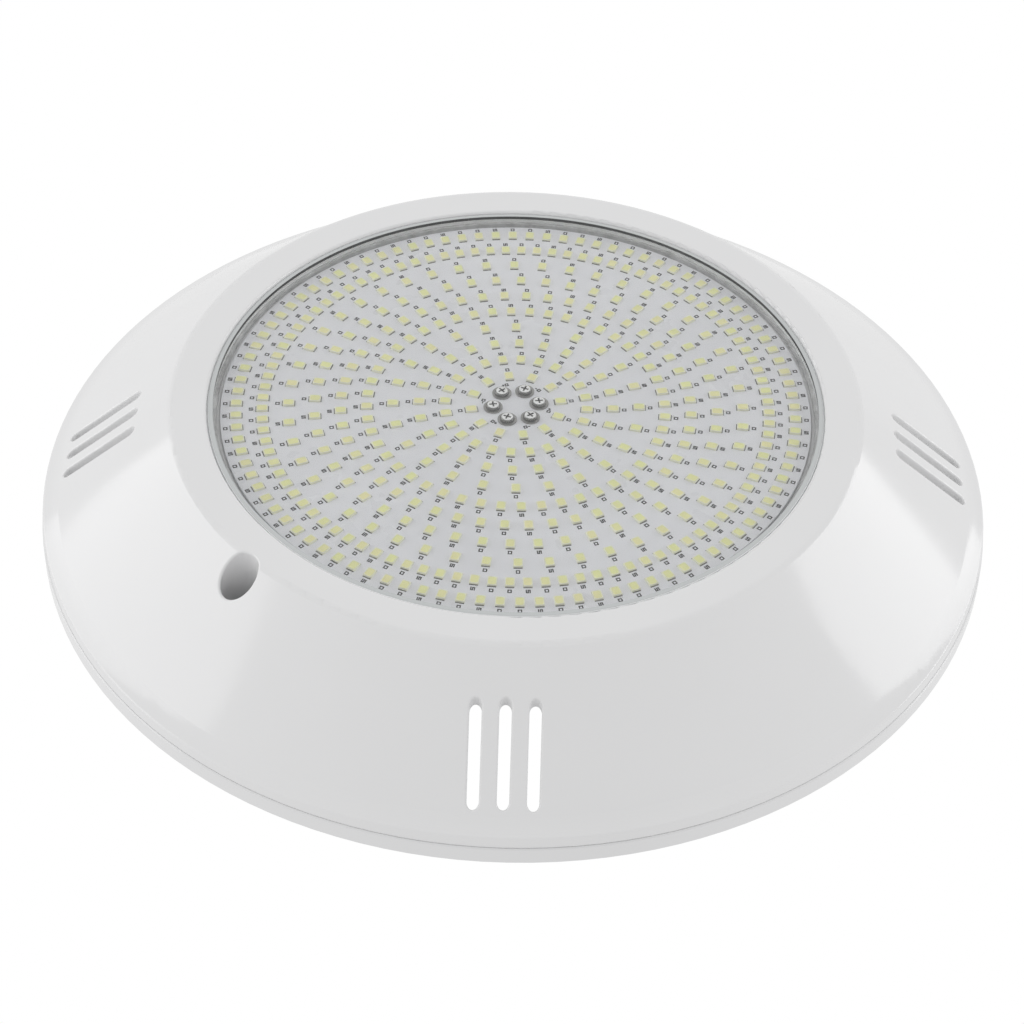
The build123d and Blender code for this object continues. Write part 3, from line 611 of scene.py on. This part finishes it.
on_lens = add_node(lens_tree, "ShaderNodeTexCoord").outputs["Object"]
apart = add_node(lens_tree, "ShaderNodeSeparateXYZ", {"Vector": on_lens}).outputs
flat = add_node(lens_tree, "ShaderNodeCombineXYZ", {"X": apart["X"], "Y": apart["Y"]}).outputs[0]
from_axis = add_node(lens_tree, "ShaderNodeVectorMath", {0: flat}, operation="LENGTH").outputs["Value"]
on_front = more_than(lens_tree, apart["Z"], matt_front)
# The front of the matt rim is painted grey as shade, and inside it is white.
white_and_painted_shade = blend_colours(lens_tree, on_front, matt_white, painted_shade_grey)
matt = add_node(lens_tree, "ShaderNodeBsdfPrincipled",
                {"Roughness": matt_rough, "Base Color": white_and_painted_shade})
edged = mix_shaders(lens_tree, more_than(lens_tree, from_axis, matt_r), lens_shader.outputs[0],
                    matt.outputs[0])

# Light from the panels passes straight through the lens to the board.
shadow = add_node(lens_tree, "ShaderNodeLightPath").outputs["Is Shadow Ray"]
passed = add_node(lens_tree, "ShaderNodeBsdfTransparent", {"Color": passed_light})
glass = mix_shaders(lens_tree, shadow, edged, passed.outputs[0])
lens_tree.links.new(glass, lens_tree.nodes["Material Output"].inputs["Surface"])
finish_nodes(clear_lens, "lens")

# ---------------------------------------------------------------- front shroud and flange ring
# The shroud is a glossy white ABS moulding with three water slots at each quarter; the flange ring
# is screwed to it from behind.
shroud_abs = moulded_plastic("shroud_abs", (0.772, 0.772, 0.776), rough=0.12, drift=0.008, grain=350,
                             grain_deep=0.002 * mm)
finish_nodes(shroud_abs, "front_shroud")
ring_abs = moulded_plastic("ring_abs", (0.765, 0.765, 0.77), rough=0.18, drift=0.01, grain=400,
                           grain_deep=0.003 * mm)
finish_nodes(ring_abs, "rear_flange_ring")

# ---------------------------------------------------------------- floor
# A pale, evenly lit table. It gives light of its own, so that it shows no shadow, and it is clear
# from below, so that the back of the lamp can be looked at.
floor_r = 4.0
floor_sides = 96
floor_z = cad_low.z - 0.05 * mm
floor_light = 0.84
floor_seen = 1.0


def build_floor(bm):
    bmesh.ops.create_circle(bm, cap_ends=True, radius=floor_r, segments=floor_sides,
                            matrix=Matrix.Translation((0, 0, floor_z)))


floor = tidy_mesh("floor", build_floor)
if floor.data.polygons[0].normal.z < 0:
    floor.data.flip_normals()

floor_glow, floor_tree, floor_shader = new_material(
    "floor_glow", Base_Color=(0, 0, 0, 1), Emission_Color=(1, 1, 1, 1), IOR=1.0)
looked_at = add_node(floor_tree, "ShaderNodeLightPath").outputs["Is Camera Ray"]
glow = add_node(floor_tree, "ShaderNodeMix", {0: looked_at, 2: floor_light, 3: floor_seen}).outputs[0]
floor_tree.links.new(glow, floor_shader.inputs["Emission Strength"])
from_below = add_node(floor_tree, "ShaderNodeNewGeometry").outputs["Backfacing"]
clear = add_node(floor_tree, "ShaderNodeBsdfTransparent")
one_sided = mix_shaders(floor_tree, from_below, floor_shader.outputs[0], clear.outputs[0])
floor_tree.links.new(one_sided, floor_tree.nodes["Material Output"].inputs["Surface"])
floor.data.materials.append(floor_glow)

# ---------------------------------------------------------------- light
# A white room that lights the lamp evenly from all sides, with a soft panel low on the left and a
# smaller, brighter one low on the right.
room_light = 0.8
room_seen = 1.0
world = bpy.data.worlds.new("white_room")
bpy.context.scene.world = world
world.use_nodes = True
room = world.node_tree
by_camera = add_node(room, "ShaderNodeLightPath").outputs["Is Camera Ray"]
strength = add_node(room, "ShaderNodeMix", {0: by_camera, 2: room_light, 3: room_seen}).outputs[0]
background = room.nodes["Background"]
background.inputs["Color"].default_value = (1, 1, 1, 1)
room.links.new(strength, background.inputs["Strength"])


def soft_panel(name, azimuth, elevation, distance, wide, high, radiance):
    """A flat white panel facing the lamp's centre, from a direction in degrees."""
    a, e = math.radians(azimuth), math.radians(elevation)
    away = Vector((math.cos(a) * math.cos(e), math.sin(a) * math.cos(e), math.sin(e)))
    light = bpy.data.lights.new(name, "AREA")
    light.shape = "RECTANGLE"
    light.size, light.size_y = wide, high
    light.energy = radiance * math.pi * wide * high
    panel = bpy.data.objects.new(name, light)
    panel.location = away * distance
    panel.rotation_euler = away.to_track_quat("Z", "Y").to_euler()
    panel.visible_camera = False
    bpy.context.scene.collection.objects.link(panel)


soft_panel("left_panel", azimuth=171.2, elevation=22.3, distance=1.3, wide=1.23, high=0.72,
           radiance=1.38)
soft_panel("right_panel", azimuth=18.0, elevation=19.4, distance=1.3, wide=0.89, high=0.49,
           radiance=2.2)

# ---------------------------------------------------------------- camera
# In front of the lamp and above it, a little more than half a metre out and as much up, with a
# long lens. It looks down at the lamp and is rolled by a degree and a half.
camera_right = 3.07 * mm
camera_out = 628.15 * mm
camera_up = 580.2 * mm
camera_data = bpy.data.cameras.new("camera")
camera = bpy.data.objects.new("camera", camera_data)
bpy.context.scene.collection.objects.link(camera)
camera_data.sensor_width = 36.0
camera_data.lens = 96.33
camera_data.shift_x = 0.0004
camera_data.shift_y = -0.0165
look_down = math.radians(42.544)
roll = math.radians(1.502)
heading = math.radians(0.337)
forward = Vector((0, math.cos(look_down), -math.sin(look_down)))
across = Vector((1, 0, 0))
upward = across.cross(forward)
camera_x = math.cos(roll) * across + math.sin(roll) * upward
camera_y = math.cos(roll) * upward - math.sin(roll) * across
axes = Matrix((camera_x, camera_y, -forward)).transposed().to_4x4()
camera_place = Matrix.Translation((camera_right, -camera_out, camera_up))
camera.matrix_world = camera_place @ Matrix.Rotation(heading, 4, "Z") @ axes
camera_data.clip_end = 50
bpy.context.scene.camera = camera
bpy.context.scene.view_settings.view_transform = "Standard"
